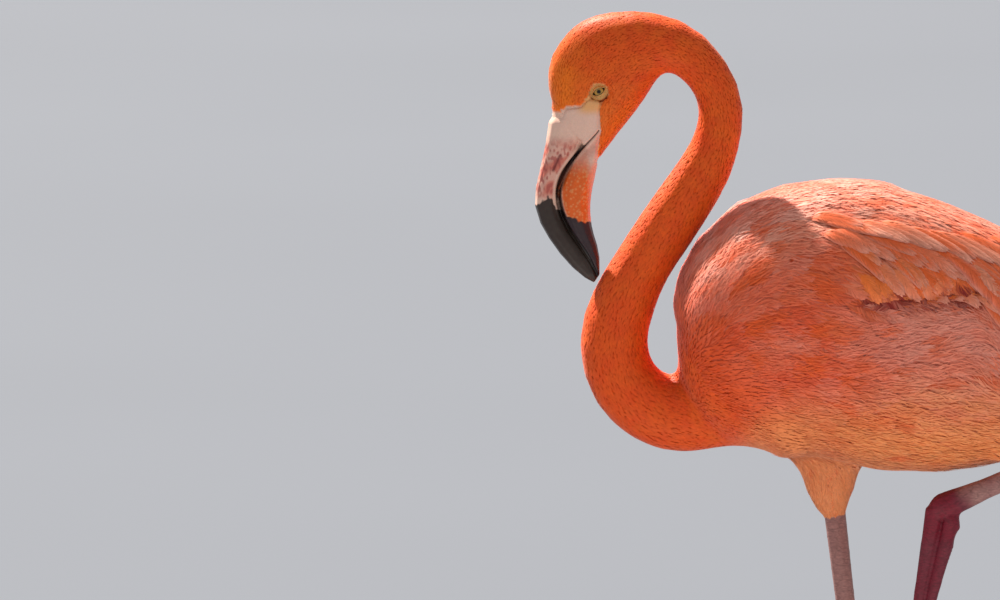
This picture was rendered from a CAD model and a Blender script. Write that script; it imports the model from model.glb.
"""Looks of a life-size American flamingo on one leg: skin, feathers, bill, eyes, legs and studio.

Everything is in metres in the CAD model's frame: the bird faces -X, its left side is -Y, +Z is up.
"""

import math
from collections import namedtuple

import bmesh
import bpy
import numpy as np
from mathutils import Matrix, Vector, kdtree, noise
from mathutils.bvhtree import BVHTree


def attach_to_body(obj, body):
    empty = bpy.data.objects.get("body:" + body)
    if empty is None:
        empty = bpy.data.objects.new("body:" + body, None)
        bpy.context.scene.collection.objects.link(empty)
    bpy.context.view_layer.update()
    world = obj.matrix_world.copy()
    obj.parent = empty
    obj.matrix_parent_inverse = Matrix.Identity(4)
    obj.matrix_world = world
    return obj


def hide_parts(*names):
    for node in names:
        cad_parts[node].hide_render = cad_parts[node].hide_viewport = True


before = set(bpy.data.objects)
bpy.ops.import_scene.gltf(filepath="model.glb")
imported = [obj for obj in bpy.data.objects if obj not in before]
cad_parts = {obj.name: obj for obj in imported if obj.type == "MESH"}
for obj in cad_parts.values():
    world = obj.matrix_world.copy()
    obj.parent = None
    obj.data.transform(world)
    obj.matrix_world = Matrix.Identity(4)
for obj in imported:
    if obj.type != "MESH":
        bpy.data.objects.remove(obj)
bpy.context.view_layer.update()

RANDOM = np.random.default_rng(17)

# ---- places on the bird

# Line that head and neck feathers follow, from the face over the nape to the breast: (x, z).
FEATHER_LINE = [
    (-0.206, 0.772), (-0.203, 0.789), (-0.198, 0.804), (-0.189, 0.818), (-0.176, 0.830),
    (-0.160, 0.838), (-0.143, 0.838), (-0.125, 0.829), (-0.111, 0.812), (-0.105, 0.794),
    (-0.107, 0.773), (-0.116, 0.751), (-0.131, 0.727), (-0.147, 0.703), (-0.161, 0.681),
    (-0.172, 0.659), (-0.179, 0.634), (-0.176, 0.609), (-0.163, 0.590), (-0.141, 0.577),
    (-0.112, 0.575),
]
NAPE = 0.30  # place of the nape along that line, 0 to 1
NECK_BASE = (-0.125, 0.0, 0.580)
BREAST_NEAR, BREAST_FAR = 0.045, 0.108  # neck plumage fades out between these distances

# Middle of the gap between neck and shoulder, seen from the side: heights, and x at each.
GAP_HEIGHTS = (0.600, 0.623, 0.644, 0.672, 0.6916, 0.7105, 0.728, 0.763)
GAP_PLACES = (-0.1400, -0.1456, -0.1428, -0.1386, -0.1274, -0.1155, -0.0973, -0.0770)

BODY_AXIS = np.array([(-0.137, 0.634), (0.0, 0.640), (0.10, 0.622), (0.20, 0.605), (0.32, 0.577)])

THIGH_TOP = np.array([-0.028, 0.038, 0.556])
THIGH_END = np.array([-0.023, 0.0346, 0.502])

# Crease between the wing's coverts and the flank, and the line where the mouth shuts: (x, z).
CREASE = [
    (-0.0045, 0.6664), (0.0056, 0.6638), (0.0175, 0.6690), (0.0420, 0.6700), (0.0740, 0.6730),
]
GAPE = [
    (-0.1900, 0.7785), (-0.2002, 0.7672), (-0.2086, 0.7574), (-0.2149, 0.7483),
    (-0.2182, 0.7392), (-0.2184, 0.7301), (-0.2162, 0.7205), (-0.2114, 0.7106),
    (-0.2050, 0.7006), (-0.1974, 0.6895), (-0.1906, 0.6745),
]

# Front and top edge of the shoulder, where the plumage is palest: (x, z).
SHOULDER_EDGE = [
    (-0.136, 0.665), (-0.128, 0.690), (-0.110, 0.712), (-0.087, 0.728), (-0.050, 0.741),
    (0.000, 0.748),
]

# Single places seen from the side: (x, z).
GROIN = (-0.060, 0.555)  # where belly and thigh meet
CROWN_DENT = (-0.1605, 0.860)  # where head and neck meet on top
FOLDED_STUB = (0.064, 0.502)  # hind toe folded against the raised leg's joint
EYE_PLACE = (-0.1902, 0.8060)
NOSTRIL = [(-0.2219, 0.7504), (-0.2172, 0.7609)]

# Bare skin of the face, seen from the side: (x, z).
BARE_FACE = [
    (-0.240, 0.790), (-0.219, 0.7910), (-0.212, 0.7955), (-0.203, 0.7970), (-0.1990, 0.8020),
    (-0.1965, 0.8080), (-0.1850, 0.8030), (-0.1893, 0.7940), (-0.1895, 0.776), (-0.1905, 0.756),
    (-0.240, 0.740),
]
EYE_CLEAR = 0.0064  # radius of the bare ring round the eye
EYE_RADIUS = 0.0052
EYE_OPENING = (0.0038, 0.0020)  # half length and half height between the lids
EYE_TILT = math.radians(28)
EYE_BULGE = 0.0016  # how far the eyeball stands out of the face

# How the coat lies: x and z in mm, and how far feathers there droop below level, in degrees.
LIE = np.array([
    (-122, 612, -12), (-126, 650, -60), (-114, 690, -50), (-80, 722, -14), (-14, 736, 6),
    (56, 715, 26), (-100, 610, -12), (-75, 640, 2), (-40, 690, 16), (-5, 682, 40),
    (40, 682, 54), (72, 690, 50), (95, 664, 58), (0, 640, -8), (45, 643, -12), (88, 622, 44),
    (20, 610, 2), (-50, 600, 6), (-80, 572, 4), (0, 558, 10), (70, 582, 14), (130, 702, 34),
    (150, 650, 34), (210, 640, 26), (250, 608, 16), (130, 600, 18), (310, 580, 14),
], float)
LIE_REACH = 14.0  # distance in mm over which one of them holds sway

# ---- colours, linear

RED_ORANGE = (0.80, 0.078, 0.006)
ORANGE = (0.86, 0.150, 0.009)
DEEP_ORANGE = (0.76, 0.072, 0.009)
FOREHEAD = (0.95, 0.190, 0.008)
BREAST_RED = (0.82, 0.078, 0.012)
SIDE = (0.83, 0.108, 0.034)
SIDE_PINK = (0.86, 0.175, 0.080)
FLANK = (0.84, 0.290, 0.200)
FLANK_LOW = (0.88, 0.270, 0.110)
SHOULDER_PALE = (0.88, 0.400, 0.300)
BELLY = (0.93, 0.300, 0.090)
TROUSER = (0.90, 0.300, 0.110)
BACK = (0.87, 0.340, 0.215)
PATCH = (0.84, 0.120, 0.016)
COVERT = (0.84, 0.200, 0.060)
OCHRE_PATCH = (0.84, 0.155, 0.012)
CREAM = (0.87, 0.420, 0.345)
WING_ROSE = (0.84, 0.225, 0.115)
WING_EDGE = (0.86, 0.330, 0.225)
REAR = (0.84, 0.330, 0.240)
CREASE_RED = (0.30, 0.022, 0.014)
QUILL_BLACK = (0.020, 0.015, 0.015)
QUILL_RIM = (0.05, 0.03, 0.03)

BILL_PINK = (0.63, 0.170, 0.115)
BILL_RED = (0.44, 0.090, 0.070)
BILL_PALE = (0.80, 0.50, 0.385)
BILL_ORANGE = (0.78, 0.120, 0.009)
BILL_PIT = (0.80, 0.25, 0.075)
BILL_BLACK = (0.034, 0.018, 0.013)
BILL_BROWN = (0.05, 0.035, 0.025)
BILL_DUSK = (0.030, 0.013, 0.016)
NOSTRIL_RED = (0.20, 0.03, 0.025)
GROOVE_BLACK = (0.010, 0.006, 0.006)
GAPE_DARK = (0.035, 0.010, 0.009)
FACE_OCHRE = (0.84, 0.40, 0.150)
LID_OCHRE = (0.95, 0.58, 0.200)
LID_RIM = (0.10, 0.045, 0.022)
IRIS_YELLOW = (0.66, 0.42, 0.10)
IRIS_RIM = (0.05, 0.028, 0.016)
PUPIL = (0.012, 0.008, 0.007)

LEG_GREY_PINK = (0.34, 0.160, 0.140)
LEG_RED = (0.165, 0.016, 0.030)
JOINT_RED = (0.19, 0.007, 0.021)
CLAW_HORN = (0.045, 0.032, 0.030)

# ---- small helpers


def mix(a, b, amount):
    """Linear blend of colours or numbers, with one amount for each row."""
    a, b, amount = (np.asarray(v, float) for v in (a, b, amount))
    if amount.ndim and 3 in (a.shape[-1:] + b.shape[-1:]) and amount.shape[-1] not in (1, 3):
        amount = amount[..., None]
    return a * (1 - amount) + b * amount


def ease(low, high, value):
    """0 below low, 1 above high, with an eased ramp between. low may be above high."""
    ramp = np.clip((np.asarray(value, float) - low) / (high - low), 0, 1)
    return ramp * ramp * (3 - 2 * ramp)


def painted(colour, *layers):
    """A colour with others laid over it in turn, each by its own share."""
    for over, share in layers:
        colour = mix(colour, over, share)
    return colour


def bell(value, width):
    """1 where the value is 0, falling off on both sides over the width."""
    return np.exp(-(value / width) ** 2)


def unit(vectors):
    """Vectors of length one, along the last axis."""
    return vectors / np.maximum(np.linalg.norm(vectors, axis=-1, keepdims=True), 1e-12)


def flatten(vectors, normals):
    """Vectors laid into the plane of their normals, at length one."""
    return unit(vectors - normals * (vectors * normals).sum(-1, keepdims=True))


def mottle(points, size, seed):
    """Smooth noise from 0 to 1 over points, with blotches of about the given size."""
    shift = np.array([7.31, 3.17, 5.93]) * seed
    values = [noise.noise(Vector(p)) for p in np.asarray(points) / size + shift]
    return np.clip(np.asarray(values) * 0.75 + 0.5, 0, 1)


def search_tree(points):
    tree = kdtree.KDTree(len(points))
    for index, point in enumerate(points):
        tree.insert(point, index)
    tree.balance()
    return tree


def smooth_curve(stations, count):
    """Points of a smooth curve through the stations, evenly spaced along it."""
    nodes = np.asarray(stations, float)
    padded = np.vstack([2 * nodes[0] - nodes[1], nodes, 2 * nodes[-1] - nodes[-2]])
    fine = []
    for p0, p1, p2, p3 in zip(padded, padded[1:], padded[2:], padded[3:]):
        for f in np.linspace(0, 1, 12, endpoint=False):
            fine.append(0.5 * (2 * p1 + (p2 - p0) * f + (2 * p0 - 5 * p1 + 4 * p2 - p3) * f ** 2
                               + (3 * p1 - p0 - 3 * p2 + p3) * f ** 3))
    fine = np.asarray(fine + [nodes[-1]])
    run = np.concatenate([[0], np.cumsum(np.linalg.norm(np.diff(fine, axis=0), axis=1))])
    even = np.linspace(0, run[-1], count)
    return np.stack([np.interp(even, run, fine[:, i]) for i in range(fine.shape[1])], axis=1)


def side_gap(points, place):
    """Distance from a place, (x, z), seen from the side."""
    return np.hypot(points[:, 0] - place[0], points[:, 2] - place[1])


def line_place(points, line):
    """Nearest place on a side-view line: share along it, distance, and +1 ahead or -1 behind."""
    line = np.asarray(line, float)
    start, step = line[:-1], np.diff(line, axis=0)
    away = points[:, None, [0, 2]] - start[None]
    share = np.clip((away * step).sum(-1) / (step ** 2).sum(-1), 0, 1)
    gap = away - share[..., None] * step
    distance = np.linalg.norm(gap, axis=-1)
    best, rows = distance.argmin(1), np.arange(len(points))
    turn = step[best, 1] * gap[rows, best, 0] - step[best, 0] * gap[rows, best, 1]
    return (best + share[rows, best]) / len(step), distance[rows, best], np.sign(turn)


def inside_outline(points, outline):
    """True where a point lies inside a side-view outline."""
    x, z = points[:, 0], points[:, 2]
    inside = np.zeros(len(points), bool)
    for (x1, z1), (x2, z2) in zip(outline, outline[1:] + outline[:1]):
        if z1 != z2:
            inside ^= ((z1 > z) != (z2 > z)) & (x < (x2 - x1) * (z - z1) / (z2 - z1) + x1)
    return inside


# ---- meshes and numpy


def in_scene(name, data):
    """A new object in the scene, for a mesh, light or camera."""
    made = bpy.data.objects.new(name, data)
    bpy.context.scene.collection.objects.link(made)
    return made


def mesh_object(name, points, faces):
    """A smooth-shaded mesh object from numpy arrays."""
    mesh = bpy.data.meshes.new(name)
    mesh.from_pydata(points.tolist(), [], faces.tolist())
    mesh.shade_smooth()
    return in_scene(name, mesh)


def table_of(items, key, columns=3, kind=np.int32):
    """One property of every vertex, edge or triangle as a table with a row for each."""
    flat = np.empty(len(items) * columns, kind)
    items.foreach_get(key, flat)
    return flat.reshape(-1, columns)


def vertex_array(obj, key="co"):
    """Places or normals of an object's vertices."""
    return table_of(obj.data.vertices, key, kind=np.float32).astype(float)


def move_vertices(obj, points):
    """Moves the vertices, and gives back their places as the mesh stores them."""
    obj.data.vertices.foreach_set("co", points.astype(np.float32).ravel())
    obj.data.update()
    return vertex_array(obj)


def displaced(obj, shift):
    """Moves each vertex along its normal by its own distance."""
    return move_vertices(obj, vertex_array(obj) + vertex_array(obj, "normal") * shift[:, None])


def relaxed(obj, share, rounds):
    """Evens out a surface, most where share is 1 and not at all where it is 0."""
    a, b = table_of(obj.data.edges, "vertices", 2).T
    points = vertex_array(obj)
    size = len(points)
    count = np.maximum(np.bincount(a, minlength=size) + np.bincount(b, minlength=size), 1)
    for _ in range(rounds):
        total = np.stack([np.bincount(a, points[b, k], size) + np.bincount(b, points[a, k], size)
                          for k in range(3)], axis=1)
        points += (total / count[:, None] - points) * (0.5 * share)[:, None]
    return move_vertices(obj, points)


def dress(obj, material, tint, grain):
    """Stores the tint and the grain's coordinates on the vertices, and sets the material."""
    rgba = np.hstack([np.clip(tint, 0, 1), np.ones((len(tint), 1))]).astype(np.float32)
    obj.data.attributes.new("tint", "FLOAT_COLOR", "POINT").data.foreach_set("color", rgba.ravel())
    layer = obj.data.attributes.new("grain", "FLOAT_VECTOR", "POINT")
    layer.data.foreach_set("vector", np.asarray(grain, np.float32).ravel())
    obj.data.materials.append(material)


def node_forms(bm, nodes, above=None):
    """Adds CAD nodes to bm, welded, and cut off below a height where one is given."""
    part = bmesh.new()
    for node in nodes:
        part.from_mesh(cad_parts[node].data)
    bmesh.ops.remove_doubles(part, verts=part.verts, dist=1e-6)
    if above is not None:
        whole = part.verts[:] + part.edges[:] + part.faces[:]
        bmesh.ops.bisect_plane(part, geom=whole, plane_co=(0, 0, above), plane_no=(0, 0, -1),
                               clear_outer=True)
        bmesh.ops.holes_fill(part, edges=[e for e in part.edges if e.is_boundary])
    mesh = bpy.data.meshes.new("part")
    part.to_mesh(mesh)
    part.free()
    bm.from_mesh(mesh)
    bpy.data.meshes.remove(mesh)


def sculpted(name, nodes, voxel, rounds, inflate, cores=()):
    """One smooth closed mesh over several CAD nodes, with the gaps between them healed."""
    bm = bmesh.new()
    for group, above in [(nodes, None), *cores]:
        node_forms(bm, group, above)
    bm.normal_update()
    for vertex in bm.verts:
        vertex.co += vertex.normal * inflate
    mesh = bpy.data.meshes.new(name)
    bm.to_mesh(mesh)
    bm.free()
    rough = in_scene(name + "_rough", mesh)
    remesh = rough.modifiers.new("remesh", "REMESH")
    remesh.mode = "VOXEL"
    remesh.voxel_size = voxel
    rough.modifiers.new("soften", "SMOOTH").iterations = rounds
    depsgraph = bpy.context.evaluated_depsgraph_get()
    made = bpy.data.meshes.new_from_object(rough.evaluated_get(depsgraph))
    made.name = name
    bpy.data.objects.remove(rough)
    made.shade_smooth()
    return in_scene(name, made)


# ---- lines along the bird

SPINE = smooth_curve(FEATHER_LINE, 220)
SPINE_TANGENT = unit(np.gradient(SPINE, axis=0))
SPINE_TREE = search_tree([(x, 0, z) for x, z in SPINE])


def spine_place(points):
    """Share along the feather line, distance from it, its direction and its nearest point."""
    index = np.array([SPINE_TREE.find((p[0], 0, p[2]))[1] for p in points], int)
    level = np.zeros(len(index))
    centre, tangent = (np.stack([row[index, 0], level, row[index, 1]], axis=1)
                       for row in (SPINE, SPINE_TANGENT))
    return index / (len(SPINE) - 1), np.linalg.norm(points - centre, axis=1), tangent, centre


def breast_distance(points):
    return np.linalg.norm(points - np.array(NECK_BASE), axis=1)


def line_share(points):
    """1 where feathers follow the feather line, on head and neck, and 0 on the body."""
    x, z = points[:, 0], points[:, 2]
    run, away, _, _ = spine_place(points)
    ahead = np.where(run > 0.86, ease(-0.100, -0.128, x), ease(-0.118, -0.136, x))
    beside = ease(0.0015, -0.0015, x - np.interp(z, GAP_HEIGHTS, GAP_PLACES))
    return ease(0.048, 0.034, away) * mix(ahead, beside, ease(0.604, 0.612, z))


def neck_share(points):
    """1 on head and neck, easing to 0 over the breast."""
    fade = ease(BREAST_FAR, BREAST_NEAR, breast_distance(points))
    return np.maximum(line_share(points), fade * ease(-0.02, 0.0, points[:, 0] + 0.17))


def thigh_share(points):
    """1 on the feathered thigh, easing to 0 on the belly."""
    axis = THIGH_END - THIGH_TOP
    away = points - THIGH_TOP
    down = (away @ axis) / (axis @ axis)
    beside = np.linalg.norm(away - np.outer(down, axis), axis=1)
    return ease(0.570, 0.536, points[:, 2]) * ease(0.075, 0.045, beside)


def axis_height(points):
    """Height of the body's long axis at each point."""
    return np.interp(points[:, 0], BODY_AXIS[:, 0], BODY_AXIS[:, 1])


def body_angle(points):
    """Angle round the body's long axis: 0 at the back, 1 under the belly, on either side."""
    return np.arctan2(np.abs(points[:, 1]), points[:, 2] - axis_height(points)) / math.pi


def eye_gap(points):
    """Distance outside the bare ring round the eye, negative inside it."""
    return side_gap(points, EYE_PLACE) - EYE_CLEAR


def crease_depth(points):
    """1 in the crease under the wing's coverts, easing to 0 a little way off."""
    on_side = ease(0.02, 0.04, np.abs(points[:, 1]))
    return bell(line_place(points, CREASE)[1], 0.0040) * on_side


# ---- markings


def zones(points):
    """How far each point belongs to the back, coverts, crease side, belly and rear, 0 to 1."""
    x, z = points[:, 0], points[:, 2]
    turn = body_angle(points)
    back = ease(0.34, 0.20, turn)
    covert = ease(-0.035, 0.0, x) * ease(0.665, 0.677, z) * (1 - back)
    flank = ease(-0.03, 0.03, x) * ease(0.675, 0.662, z)
    return back, covert, flank, ease(0.60, 0.80, turn), ease(0.085, 0.15, x)


def neck_colour(points, mirrored, broad):
    run = spine_place(points)[0]
    face = ease(0.150, 0.04, run)
    fine = mottle(mirrored, 0.009, 1)
    front = ease(-0.204, -0.214, points[:, 0]) * ease(0.835, 0.815, points[:, 2])
    return painted(ORANGE, (RED_ORANGE, np.clip(0.75 + 0.5 * (fine - 0.5) - 0.75 * face, 0, 1)),
                   (FOREHEAD, 0.8 * front),
                   (DEEP_ORANGE, ease(0.35, 0.9, run) * (0.15 + 0.45 * broad)))


def body_colour(points, mirrored, broad):
    back, covert, flank, belly, rear = zones(points)
    low = ease(0.625, 0.590, points[:, 2])
    spots = ease(0.50, 0.64, mottle(mirrored * [0.8, 1, 1.1], 0.014, 4))
    pale = ease(0.56, 0.72, mottle(mirrored, 0.012, 6))
    shoulder = ease(0.034, 0.010, line_place(points, SHOULDER_EDGE)[1])
    body = painted(
        SIDE, (SIDE_PINK, ease(0.35, 0.7, broad)), (mix(FLANK, FLANK_LOW, low), flank),
        (COVERT, covert), (BACK, back), (REAR, rear), (BELLY, belly * (1 - 0.4 * rear)),
        (mix(PATCH, OCHRE_PATCH, covert), spots * mix(0.70, 0.40, belly) * (1 - 0.5 * flank)),
        (mix(SIDE_PINK, CREAM, 0.35), pale * 0.45 * (1 - belly)),
        (SHOULDER_PALE, shoulder * (0.80 - 0.45 * spots)))
    breast = mix(BREAST_RED, SIDE, 0.35 * broad)
    return painted(breast, (body, ease(0.050, 0.130, breast_distance(points))),
                   (TROUSER, thigh_share(points) * 0.85),
                   (CREASE_RED, np.clip(1.3 * crease_depth(points), 0, 1)))


def plumage_colour(points):
    """Colour of skin and feathers anywhere on the bird, the same on both sides."""
    points = np.asarray(points, float)
    mirrored = points * [1, 0, 1] + np.abs(points) * [0, 1, 0]
    broad = mottle(mirrored, 0.030, 2)
    plumage = mix(body_colour(points, mirrored, broad), neck_colour(points, mirrored, broad),
                  neck_share(points))
    groin = ease(0.048, 0.016, side_gap(points, GROIN))
    return mix(plumage, mix(BELLY, TROUSER, 0.5), 0.75 * groin)


def patch_chance(points):
    """How often a single feather is orange among paler ones."""
    back, covert, flank, belly, rear = zones(points)
    chance = 0.16 + 0.30 * back + 0.22 * covert - 0.06 * flank - 0.08 * belly - 0.10 * rear
    return np.clip(chance, 0.03, 1) * ease(0.07, 0.13, breast_distance(points))


# ---- materials


def shader_node(tree, kind, inputs, **settings):
    """A new shader node. An input given a socket is linked to it, and any other is set."""
    made = tree.nodes.new("ShaderNode" + kind)
    for key, value in settings.items():
        setattr(made, key, value)
    for key, value in inputs.items():
        if isinstance(value, bpy.types.NodeSocket):
            tree.links.new(value, made.inputs[key])
        else:
            made.inputs[key].default_value = value
    return made


def brightened(tree, colour, factor):
    """A colour times a factor that varies over the surface."""
    made = shader_node(tree, "VectorMath", {0: colour, "Scale": factor}, operation="SCALE")
    return made.outputs[0]


def grained(name, noise_scale, detail, low, high, bump, depth, **settings):
    """Stored tint made lighter and darker by noise over the stored grain, which is also bump."""
    material = bpy.data.materials.new(name)
    material.use_nodes = True
    tree = material.node_tree
    shader = tree.nodes["Principled BSDF"]
    for key, value in settings.items():
        shader.inputs[key.replace("_", " ")].default_value = value
    tint = shader_node(tree, "Attribute", {}, attribute_name="tint").outputs["Color"]
    grain = shader_node(tree, "Attribute", {}, attribute_name="grain").outputs["Vector"]
    strands = shader_node(tree, "TexNoise", {
        "Vector": grain, "Scale": noise_scale, "Detail": detail}).outputs["Fac"]
    span = shader_node(tree, "MapRange", {
        "Value": strands, "From Min": 0.25, "From Max": 0.75, "To Min": low, "To Max": high})
    colour = brightened(tree, tint, span.outputs["Result"])
    relief = shader_node(tree, "Bump", {"Strength": bump, "Distance": depth, "Height": strands})
    tree.links.new(colour, shader.inputs["Base Color"])
    tree.links.new(relief.outputs["Normal"], shader.inputs["Normal"])
    return material, tree, colour, relief, grain


def feather_material(name, streak, roughness, sheen, sheen_roughness):
    return grained(name, 1.0, 3.0, 1 - streak, 1 + streak, 0.25, 0.0003, Roughness=roughness,
                   Specular_IOR_Level=0.24, Sheen_Tint=(1.0, 0.80, 0.72, 1.0),
                   Sheen_Weight=sheen, Sheen_Roughness=sheen_roughness)[0]


def scaled_material():
    """Dry skin in small plates, with thin dark grooves between them."""
    material, tree, colour, relief, grain = grained(
        "leg_scales", 4.0, 5.0, 0.72, 1.28, 0.4, 0.0004, Roughness=0.55, Specular_IOR_Level=0.35)
    cells = shader_node(tree, "TexVoronoi", {"Vector": grain, "Scale": 1.0},
                        feature="DISTANCE_TO_EDGE")
    groove = shader_node(tree, "MapRange", {
        "Value": cells.outputs["Distance"], "From Max": 0.10, "To Min": 0.80,
    }, interpolation_type="SMOOTHSTEP").outputs["Result"]
    darker = brightened(tree, colour, groove)
    tree.links.new(darker, tree.nodes["Principled BSDF"].inputs["Base Color"])
    tree.links.new(groove, relief.inputs["Height"])
    return material


VELVET = feather_material("feathers_velvet", 0.08, 0.55, 0.20, 0.35)
CONTOUR = feather_material("feathers_contour", 0.12, 0.55, 0.25, 0.40)
FLIGHT = feather_material("feathers_flight", 0.12, 0.50, 0.12, 0.45)
DOWN = feather_material("skin_down", 0.25, 0.85, 0.10, 0.60)
HORN = grained("bill_horn", 1.0, 4.0, 0.93, 1.07, 0.15, 0.0002, Roughness=0.42,
               Specular_IOR_Level=0.40, Subsurface_Weight=0.05, Subsurface_Scale=0.002)[0]
BARE = grained("bare_skin", 1.4, 4.0, 0.80, 1.20, 0.35, 0.0002, Roughness=0.50,
               Specular_IOR_Level=0.30, Subsurface_Weight=0.08, Subsurface_Scale=0.001)[0]
WET = grained("eye_wet", 2.0, 3.0, 0.82, 1.18, 0.05, 0.00005, Roughness=0.30,
              Specular_IOR_Level=0.10, Coat_Weight=0.45, Coat_Roughness=0.03)[0]
CLAW = grained("claw_horn", 1.0, 4.0, 0.60, 1.50, 0.25, 0.0002, Roughness=0.40)[0]
SCALES = scaled_material()

# Cells of grain in each metre.
SKIN_GRAIN, HORN_GRAIN, LID_GRAIN, EYE_GRAIN = 700, 900, 1000, 1200
SCALE_GRAIN = (95, 95, 250)

# ---- skin under the feathers

FEATHERED = ["head", "neck_1", "neck_2", "neck_3", "neck_4", "trunk", "wing_left", "wing_right",
             "tail", "flank_left", "thigh_right"]
BILL = ["bill_upper", "bill_lower"]
RIGHT_LEG = [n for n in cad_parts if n.startswith(("toe_right", "web_right"))]
RIGHT_LEG += ["tibia_right", "tarsus_right"]
LEFT_LEG = [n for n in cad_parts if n.startswith("toe_left")]
LEFT_LEG += ["tarsus_left", "hock_left", "web_left"]
CLAWS = [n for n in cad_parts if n.startswith("claw_")]
DEPTH = {"head": 0.0010, "neck": 0.0015, "body": 0.0031, "wing_tip": 0.0018}
TROUSER_HEIGHTS = (0.495, 0.502, 0.506, 0.520, 0.545, 0.570)
TROUSER_DEPTHS = (0.0016, 0.0010, 0.0004, -0.0002, 0.0010, 0.0038)
TROUSER_HEM = 0.5042  # lowest roots of the thigh's feathers
CORES = [(BILL, 0.754), (["tibia_right"], 0.490)]  # the skin goes on inside these, down to there
HOCK_HEIGHT = 0.318  # the standing leg's
RAISED_JOINT = (0.049, -0.034, 0.515)
RAISED_HOCK = (0.298, -0.046, 0.626)


def coat_depth(points):
    """How far the skin lies under the plumage's outer surface."""
    x, y, z = points.T
    neck = mix(DEPTH["head"], DEPTH["neck"], ease(NAPE * 0.6, 0.7, spine_place(points)[0]))
    body = mix(DEPTH["body"], DEPTH["wing_tip"], ease(0.15, 0.23, x))
    thigh = np.interp(z, TROUSER_HEIGHTS, TROUSER_DEPTHS)
    depth = mix(mix(body, thigh, thigh_share(points)), neck, neck_share(points))
    under_bill = ease(-0.1935, -0.1985, x) * ease(0.777, 0.769, z)
    depth = depth + (0.0006 + 0.0040 * under_bill) * inside_outline(points, BARE_FACE)
    depth = depth - 0.0045 * bell(side_gap(points, GROIN), 0.013)
    depth = depth - 0.0015 * bell(side_gap(points, CROWN_DENT), 0.008)
    socket = ease(0, -0.0022, eye_gap(points)) * (np.abs(y) > 0.008)
    edge = line_place(points, SHOULDER_EDGE)[1]
    shoulder = ease(0.028, 0.008, edge) * (1 - line_share(points))
    return depth + 0.0050 * crease_depth(points) + 0.0034 * socket - 0.0030 * shoulder


def plumage_skin():
    """The skin of head, neck, body and wings, sunk by the coat's depth."""
    skin = sculpted("skin", FEATHERED, voxel=0.0023, rounds=6, inflate=0.0003, cores=CORES)
    points = vertex_array(skin)
    x, _, z = points.T
    groin = ease(0.520, 0.536, z) * ease(0.592, 0.570, z)
    groin = groin * ease(0.090, 0.060, np.abs(x + 0.040))
    neck_foot = bell(breast_distance(points), 0.040)
    trunk = 0.45 * ease(0.04, 0.07, spine_place(points)[1]) * (z > 0.545)
    points = relaxed(skin, np.clip(groin + neck_foot + trunk + 0.03, 0, 1), 110)
    points = displaced(skin, -coat_depth(points))
    x, _, z = points.T
    tint = plumage_colour(points) * mix(1.16, 1.08, neck_share(points))[:, None]
    bare = inside_outline(points, BARE_FACE) | (eye_gap(points) < 0.0005)
    brow = mix(BILL_PALE, FACE_OCHRE, ease(-0.2050, -0.1985, x))
    mouth = ease(-0.1985, -0.2005, x) * ease(0.774, 0.771, z)
    tint = np.where(bare[:, None], mix(brow, GAPE_DARK, mouth), tint)
    dress(skin, DOWN, tint, points * SKIN_GRAIN)
    return skin


def leg_skin(name, nodes, voxel, rounds, redness):
    """A bare leg and foot: one scaled skin, redder at joints and on the foot."""
    leg = sculpted(name, nodes, voxel, rounds, inflate=0.00025)
    stub = side_gap(vertex_array(leg), FOLDED_STUB)
    points = relaxed(leg, ease(0.015, 0.006, stub), 90)
    red = redness(points) + 0.45 * (mottle(points * [1, 1, 0.35], 0.009, 8) - 0.5)
    tint = painted(LEG_GREY_PINK, (LEG_RED, ease(0.0, 0.8, red)),
                   (JOINT_RED, ease(0.65, 1.25, red)))
    dress(leg, SCALES, tint, points * SCALE_GRAIN)
    return leg


def right_leg_red(points):
    hock = ease(0.045, 0.012, np.abs(points[:, 2] - HOCK_HEIGHT))
    foot = ease(0.045, 0.012, points[:, 2])
    return 0.06 + 0.4 * hock + 0.6 * foot


def left_leg_red(points):
    joint, hock = (np.linalg.norm(points - np.array(place), axis=1)
                   for place in (RAISED_JOINT, RAISED_HOCK))
    foot = ease(0.530, 0.505, points[:, 2] + 0.2 * (points[:, 0] - 0.05))
    return (0.10 + 0.85 * ease(0.030, 0.006, joint) + 0.75 * foot
            + 0.45 * ease(0.05, 0.015, hock))


def claw_horn():
    claws = sculpted("claws", CLAWS, voxel=0.00035, rounds=3, inflate=0.0001)
    points = vertex_array(claws)
    dress(claws, CLAW, np.tile(CLAW_HORN, (len(points), 1)), points * HORN_GRAIN)
    return claws


skin = plumage_skin()
right_leg = leg_skin("leg_right", RIGHT_LEG, voxel=0.0010, rounds=5, redness=right_leg_red)
left_leg = leg_skin("leg_left", LEFT_LEG, voxel=0.0009, rounds=8, redness=left_leg_red)
claws = claw_horn()
SURFACE = BVHTree.FromObject(skin, bpy.context.evaluated_depsgraph_get())

# ---- where feathers grow

FEATHER_LENGTH = 0.032  # a full-grown contour feather's
SAME_SIDE = 0.3  # least cosine between normals on the same side of the bird
SEATED = 0.004  # a feather further off the skin than this hangs in the air
SIDEWAYS = 0.12  # spread of the way that short feathers lie, in radians
HAIRY_SIDEWAYS = 0.22


def lie_of_feathers(points, normals):
    """Direction each feather points, along the skin."""
    away = points[:, None, [0, 2]] * 1000 - LIE[None, :, :2]
    weight = 1 / ((away ** 2).sum(-1) + LIE_REACH ** 2) ** 2
    droop = np.radians(LIE[:, 2])
    body = unit(weight @ np.stack([np.cos(droop), 0 * droop, -np.sin(droop)], axis=1))
    body = unit(mix(body, np.array([0.12, 0.0, -1.0]), thigh_share(points)))
    steep = ease(0.70, 0.92, np.abs((body * normals).sum(axis=1)))
    body = unit(body + steep[:, None] * np.array([0.0, 0.0, 1.0]))
    tangent = spine_place(points)[2]
    return flatten(unit(mix(body, tangent, line_share(points))), normals)


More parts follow.
